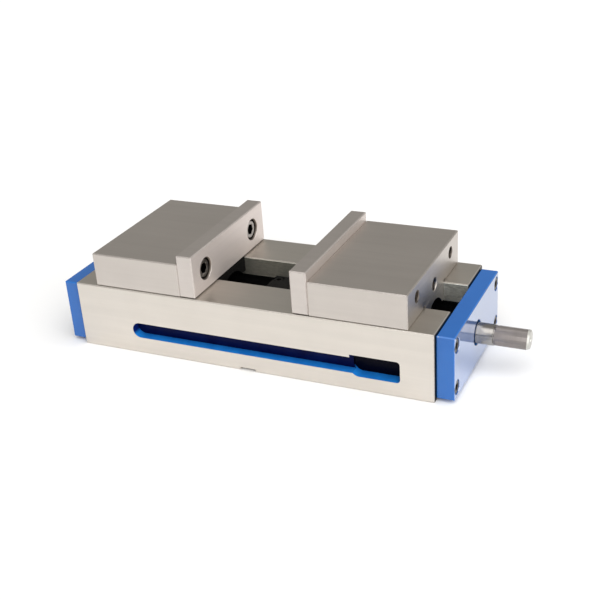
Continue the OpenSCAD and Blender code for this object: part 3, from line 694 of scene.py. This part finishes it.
def lead_screw():
    """Journals, collar, square drive and both threads, the left-hand one on the left."""
    left, right = SCREW_LO.x, SCREW_HI.x
    thread_end = BED_HI.x - THREAD_END_MARGIN
    drive_start = right - DRIVE_LENGTH
    soft = 0.6 * MM
    neck_r = JOURNAL_R - 0.5 * MM
    neck_end = drive_start + 0.2 * MM
    builder = bmesh.new()
    # plain journals, from each end of the thread outwards, and the middle with its collar
    add_turned(builder, [(left, 0), (left, JOURNAL_R - 1 * MM), (left + 1 * MM, JOURNAL_R),
                         (-thread_end - soft, JOURNAL_R), (-thread_end, JOURNAL_R - soft),
                         (-thread_end, 0)])
    add_turned(builder, [(-THREAD_START, 0), (-THREAD_START, JOURNAL_R - soft),
                         (-THREAD_START + soft, JOURNAL_R), (-COLLAR_HALF, JOURNAL_R),
                         (-COLLAR_HALF, COLLAR_R - soft), (-COLLAR_HALF + soft, COLLAR_R),
                         (COLLAR_HALF - soft, COLLAR_R), (COLLAR_HALF, COLLAR_R - soft),
                         (COLLAR_HALF, JOURNAL_R), (THREAD_START - soft, JOURNAL_R),
                         (THREAD_START, JOURNAL_R - soft), (THREAD_START, 0)])
    add_turned(builder, [(thread_end, 0), (thread_end, JOURNAL_R - soft), (thread_end + soft, JOURNAL_R),
                         (drive_start - 0.8 * MM, JOURNAL_R), (drive_start - 0.4 * MM, neck_r),
                         (neck_end, neck_r), (neck_end, 0)])
    # square drive with turned chamfers and a centre drilling in its end
    chamfer = 1.6 * MM
    face_r = DRIVE_CORNER_R - 1.9 * chamfer
    centre_r, centre_depth = 2.6 * MM, 4 * MM
    pilot_r, pilot_depth = 0.8 * MM, 6 * MM
    add_turned(builder, [(drive_start, 0), (drive_start, JOURNAL_R - soft),
                         (drive_start + chamfer, DRIVE_CORNER_R), (right - chamfer, DRIVE_CORNER_R)],
               segments=144, shape=drive_section, material=1)
    add_turned(builder, [(right - chamfer, DRIVE_CORNER_R), (right, face_r), (right, centre_r),
                         (right - centre_depth, pilot_r), (right - pilot_depth, pilot_r),
                         (right - pilot_depth, 0)], segments=144, shape=drive_section, material=2)
    for hand in (-1, 1):
        length = thread_end - THREAD_START
        thread = made(THREAD, "screw_thread", {
            "Start": THREAD_START if hand > 0 else -thread_end, "Length": length,
            "Major Radius": THREAD_R, "Minor Radius": THREAD_ROOT_R, "Pitch": THREAD_PITCH, "Hand": hand,
            "Crest Share": THREAD_FLAT_SHARE, "Root Share": THREAD_FLAT_SHARE,
            "Steps Around": 49, "Steps Along": 361, "Finish": FINISH["turned"]})
        builder.from_mesh(thread)
        bpy.data.meshes.remove(thread)
    builder.transform(Matrix.Translation((0, 0, AXIS_Z)))
    piece = finished("lead_screw_threaded", builder, [FINISH["turned"], FINISH["milled"], FINISH["lit_faced"]],
                     smooth_angle=30)
    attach(piece, "screw")
    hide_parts("lead_screw")


# ---------- fasteners ----------

def add_hex_socket(builder, face_x, rim_r, across_flats, depth):
    """Recess with six walls in a face at face_x: countersunk mouth, walls, drilled bottom."""
    mouth_r = across_flats / 2 / math.cos(math.pi / 6) + 0.25 * MM
    mouth_depth = 0.35 * MM
    drill_r = across_flats * 0.47
    drill_tip = across_flats * 0.2

    def hexagon(angle, radius):
        step = math.pi / 3
        local = (angle % step) - step / 2
        return min(radius, across_flats / 2 / math.cos(local))

    add_turned(builder, [(face_x, rim_r), (face_x, mouth_r), (face_x - mouth_depth, mouth_r, hexagon),
                         (face_x - depth, mouth_r, hexagon), (face_x - depth, drill_r),
                         (face_x - depth - drill_tip, 0)], segments=48)


def add_threaded_shank(builder, size, start, length):
    """A screw's threaded part along X."""
    shank_r, pitch = size.shank_r, size.pitch
    shank = made(THREAD, "shank", {
        "Start": start, "Length": length, "Major Radius": shank_r, "Minor Radius": shank_r - 0.6 * pitch,
        "Pitch": pitch, "Hand": 1, "Crest Share": 0.12, "Root Share": 0.2, "Steps Around": 25,
        "Steps Along": max(8, int(length / pitch * 5)), "Finish": FINISH["black"]})
    builder.from_mesh(shank)
    bpy.data.meshes.remove(shank)


def cap_screw(size, shank_length):
    """Socket cap screw along X, its head's outer face at x = 0: knurled head, rolled thread."""
    shank_r, head_r, head_h, across_flats, _ = size
    teeth = 48
    knurl = 0.18 * MM
    edge = 0.3 * MM
    chamfer = 0.6 * MM
    overlap = 0.1 * MM
    rim_r = head_r - chamfer
    builder = bmesh.new()

    def knurled(angle, radius):
        tooth = 0.5 + 0.5 * math.cos(angle * teeth)
        return radius - knurl * (1 - tooth) if radius >= head_r - 0.05 * MM else radius

    add_turned(builder, [(-head_h, 0), (-head_h, head_r - edge), (-head_h + edge, head_r),
                         (-chamfer - edge, head_r), (-chamfer, head_r - 0.1 * MM), (0, rim_r)],
               segments=teeth * 2, shape=knurled)
    add_hex_socket(builder, 0, rim_r, across_flats, head_h * 0.55)
    bridge_rims(builder, 0, rim_r)
    # the shank's plain part, then its thread; each runs a little into the part above
    plain = min(shank_length * 0.25, 6 * MM)
    add_turned(builder, [(-head_h - plain, 0), (-head_h - plain, shank_r), (-head_h + overlap, shank_r),
                         (-head_h + overlap, 0)], segments=32)
    add_threaded_shank(builder, size, -head_h - shank_length, shank_length - plain + overlap)
    return finished("cap_screw_pattern", builder, [FINISH["black"]])


def bridge_rims(builder, face_x, radius):
    """Welds the head's rim to the socket face's rim, whose point counts differ."""
    on_rim = [v for v in builder.verts
              if abs(v.co.x - face_x) < 0.001 * MM and abs(math.hypot(v.co.y, v.co.z) - radius) < 0.02 * MM]
    bmesh.ops.remove_doubles(builder, verts=on_rim, dist=0.01 * MM)
    rim = set(on_rim)
    loose = [e for e in builder.edges if len(e.link_faces) == 1 and all(v in rim for v in e.verts)]
    if loose:
        bmesh.ops.holes_fill(builder, edges=loose, sides=4)


# how a screw that looks along +X is turned to look another way
TO_RIGHT = (0, 0, 0)
TO_LEFT = (0, 0, math.pi)
UPWARDS = (0, -math.pi / 2, 0)


def set_on_seats(name, source, seats, lean, body, replaced, seed, finish="black"):
    """Instances one screw on its seats and hands the result over as a single plain piece."""
    mesh = made(SEATS, name, {
        "Lean X": lean[0], "Lean Y": lean[1], "Lean Z": lean[2], "Spin Range": math.pi / 3,
        "Spin Seed": seed, "Screw": source, "Finish": FINISH[finish]}, seats)
    builder = bmesh.new()
    builder.from_mesh(mesh)
    bpy.data.meshes.remove(mesh)
    piece = finished(name, builder, [FINISH[finish]])
    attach(piece, body)
    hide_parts(replaced)
    bpy.data.objects.remove(source)


def end_plate_bolts(side, seed):
    """Four cap screws in an end plate's corners, heads outwards."""
    low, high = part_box(side + "_end_screws")
    right = side == "right"
    face_x = high.x if right else low.x
    length = high.x - low.x - M8.head_h
    seats = [(face_x, y, z) for y in (low.y + M8.head_r, high.y - M8.head_r)
             for z in (low.z + M8.head_r, high.z - M8.head_r)]
    set_on_seats(side + "_end_plate_bolts", cap_screw(M8, length), seats,
                 TO_RIGHT if right else TO_LEFT, "bed", side + "_end_screws", seed)


def jaw_plate_bolts(side, seed):
    """Two cap screws that hold a jaw plate, heads towards the other jaw."""
    low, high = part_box(side + "_jaw_plate_screws")
    right = side == "right"
    face_x = low.x if right else high.x
    length = high.x - low.x - M12.head_h
    seats = [(face_x, y, z) for y, z in PLATE_SCREW_AXES]
    set_on_seats(side + "_jaw_plate_bolts", cap_screw(M12, length), seats,
                 TO_LEFT if right else TO_RIGHT, side + "_jaw", side + "_jaw_plate_screws", seed,
                 finish="reflection_grey")


def bearing_bolts(seed):
    """Four cap screws that hold the bearing's housing, heads up."""
    low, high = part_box("bearing_screws")
    seats = [(x, y, high.z) for x in (low.x + M6.head_r, high.x - M6.head_r)
             for y in (low.y + M6.head_r, high.y - M6.head_r)]
    length = high.z - low.z - M6.head_h
    set_on_seats("bearing_bolts", cap_screw(M6, length), seats, UPWARDS, "bed",
                 "bearing_screws", seed, finish="oxide")


def grub_screw(side, seed):
    """Headless set screw with a socket, deep in a jaw's rear hole."""
    low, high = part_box(side + "_set_screw")
    right = side == "right"
    length = high.x - low.x
    radius = (high.z - low.z) / 2
    face_x = high.x if right else low.x
    socket_depth = 7 * MM
    plain = socket_depth + 1 * MM
    plain_r = radius - 0.2 * MM
    rim_r = radius - 1 * MM
    builder = bmesh.new()
    add_threaded_shank(builder, M12, -length, length - socket_depth)
    add_turned(builder, [(-plain, 0), (-plain, plain_r), (-0.7 * MM, plain_r), (0, rim_r)], segments=48)
    add_hex_socket(builder, 0, rim_r, 6 * MM, socket_depth)
    source = finished("grub_pattern", builder, [FINISH["black"]])
    set_on_seats(side + "_grub_screw", source, [(face_x, 0, GRUB_Z)],
                 TO_RIGHT if right else TO_LEFT, side + "_jaw", side + "_set_screw", seed)


def tapped_holes(side):
    """Thread crests in the mouths of the two outer holes and of the set screw's hole."""
    low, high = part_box(side + "_jaw")
    grub_low, grub_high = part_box(side + "_set_screw")
    right = side == "right"
    mouth = 1.2 * MM
    crest = 0.6 * MM
    outer_length = 20 * MM
    grub_recess = high.x - grub_high.x if right else grub_low.x - low.x
    outer_holes = [(0, y, z) for y, z in PLATE_SCREW_AXES]
    grub_hole = [(0, 0, GRUB_Z)]
    builder = bmesh.new()
    for points, wall_r, length in ((outer_holes, TAP_DRILL_R, outer_length),
                                   (grub_hole, GRUB_HOLE_R, grub_recess - 2 * mouth)):
        start = high.x - mouth - length if right else low.x + mouth
        mesh = made(COIL, "crests", {
            "Start": start, "Length": length, "Wall Radius": wall_r, "Depth": crest,
            "Pitch": M12.pitch, "Finish": FINISH["turned"]}, points)
        builder.from_mesh(mesh)
        bpy.data.meshes.remove(mesh)
    piece = finished(side + "_tapped_hole_threads", builder, [FINISH["turned"]])
    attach(piece, side + "_jaw")


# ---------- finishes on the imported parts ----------

def coat(node, material):
    """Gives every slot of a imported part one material."""
    for slot in NODES[node].material_slots:
        slot.material = material


def finish_packed_parts():
    """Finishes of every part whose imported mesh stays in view."""
    coat("bed", bed_iron())
    drilled_r = M12.shank_r + BORE_MARGIN
    jaw_bores = [(y, z, drilled_r) for y, z in PLATE_SCREW_AXES]
    jaw_bores.append((0.0, GRUB_Z, drilled_r))
    plate_bores = [(y, z, PLATE_COUNTERBORE_R + BORE_MARGIN) for y, z in PLATE_SCREW_AXES]
    for side in ("left", "right"):
        low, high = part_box(side + "_jaw")
        body_low = (low.x, low.y, BED_HI.z + 0.1 * MM)
        coat(side + "_jaw", ground_steel(side + "_jaw_ground_iron", body_low, high,
                                         colour(0.61, 0.565, 0.525), 0.37, jaw_bores, tongue_hollow))
        low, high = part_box(side + "_jaw_plate")
        coat(side + "_jaw_plate", ground_steel(side + "_jaw_plate_hard_steel", low, high,
                                               colour(0.65, 0.60, 0.565), 0.38, plate_bores,
                                               lapped_and_lit=1 if side == "left" else -1))
        low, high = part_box(side + "_end_plate")
        coat(side + "_end_plate", gloss_paint(side + "_end_plate_enamel", low, high))
    iron = nut_iron()
    polished = ground_steel("polished_pin_steel", BED_LO, BED_HI, colour(0.6, 0.6, 0.6), 0.2)
    washer = bronze()
    for side in ("left", "right"):
        coat(side + "_nut", iron)
        coat(side + "_half_ball", polished)
        coat(side + "_thrust_washer", washer)
    coat("bearing_dowels", polished)
    coat("bearing_base", FINISH["oxide"])
    coat("bearing_cap", FINISH["oxide"])


# ---------- studio ----------

def floor():
    """Wide pale floor, faintly clouded."""
    s = Shader("studio_floor")
    cloud = s.noise(s.position, scale=3.0, detail=2.0)
    tone = s.blend(cloud, colour(0.955, 0.955, 0.955), colour(0.975, 0.975, 0.975))
    s.set(colour=tone, rough=0.9, specular=0.0)
    half = 40.0     # metres
    mesh = bpy.data.meshes.new("studio_floor")
    corners = [(-half, -half, 0), (half, -half, 0), (half, half, 0), (-half, half, 0)]
    mesh.from_pydata(corners, [], [(0, 1, 2, 3)])
    mesh.materials.append(s.material)
    piece = bpy.data.objects.new("studio_floor", mesh)
    bpy.context.scene.collection.objects.link(piece)


def studio():
    """Dim warm surroundings under one broad, soft light from the near right."""
    world = bpy.data.worlds.new("studio")
    world.use_nodes = True
    sky = next(n for n in world.node_tree.nodes if n.type == "BACKGROUND")
    sky.inputs["Color"].default_value = colour(1.0, 0.98, 0.93)
    sky.inputs["Strength"].default_value = 0.35
    bpy.context.scene.world = world
    data = bpy.data.lights.new("ceiling_light", "SUN")
    data.energy = 3.2
    data.angle = math.radians(98)
    light = bpy.data.objects.new("ceiling_light", data)
    source = Vector((0.50, -0.42, 0.76))
    light.rotation_euler = source.to_track_quat("Z", "Y").to_euler()
    bpy.context.scene.collection.objects.link(light)
    bpy.context.scene.view_settings.view_transform = "Standard"


def camera():
    """Looks down on the near right-hand corner, a little tilted, from about a metre away."""
    azimuth, elevation, roll = math.radians(25.991), math.radians(26.207), math.radians(-4.068)
    focal_share = 1065.66 / 600         # focal length over the frame's width
    film = 36
    side_shift, up_shift, distance = -18.249 * MM, -35.029 * MM, 1075.088 * MM
    back = Vector((math.sin(azimuth) * math.cos(elevation), -math.cos(azimuth) * math.cos(elevation),
                   math.sin(elevation)))
    right = Vector((math.cos(azimuth), math.sin(azimuth), 0))
    up = back.cross(right)
    right_rolled = math.cos(roll) * right + math.sin(roll) * up
    up_rolled = -math.sin(roll) * right + math.cos(roll) * up
    data = bpy.data.cameras.new("studio_camera")
    data.sensor_width = film
    data.lens = film * focal_share
    data.clip_start, data.clip_end = 0.01, 50
    view = bpy.data.objects.new("studio_camera", data)
    turn = Matrix((right_rolled, up_rolled, back)).transposed().to_4x4()
    place = back * distance - right_rolled * side_shift - up_rolled * up_shift
    view.matrix_world = Matrix.Translation(place) @ turn
    bpy.context.scene.collection.objects.link(view)
    bpy.context.scene.camera = view


# ---------- assembly ----------

camera()
studio()
floor()
finish_packed_parts()
lead_screw()
# every set of screws has its own seed
for number, side in enumerate(("left", "right")):
    end_plate_bolts(side, 11 + number)
    jaw_plate_bolts(side, 21 + number)
    grub_screw(side, 31 + number)
    tapped_holes(side)
bearing_bolts(7)
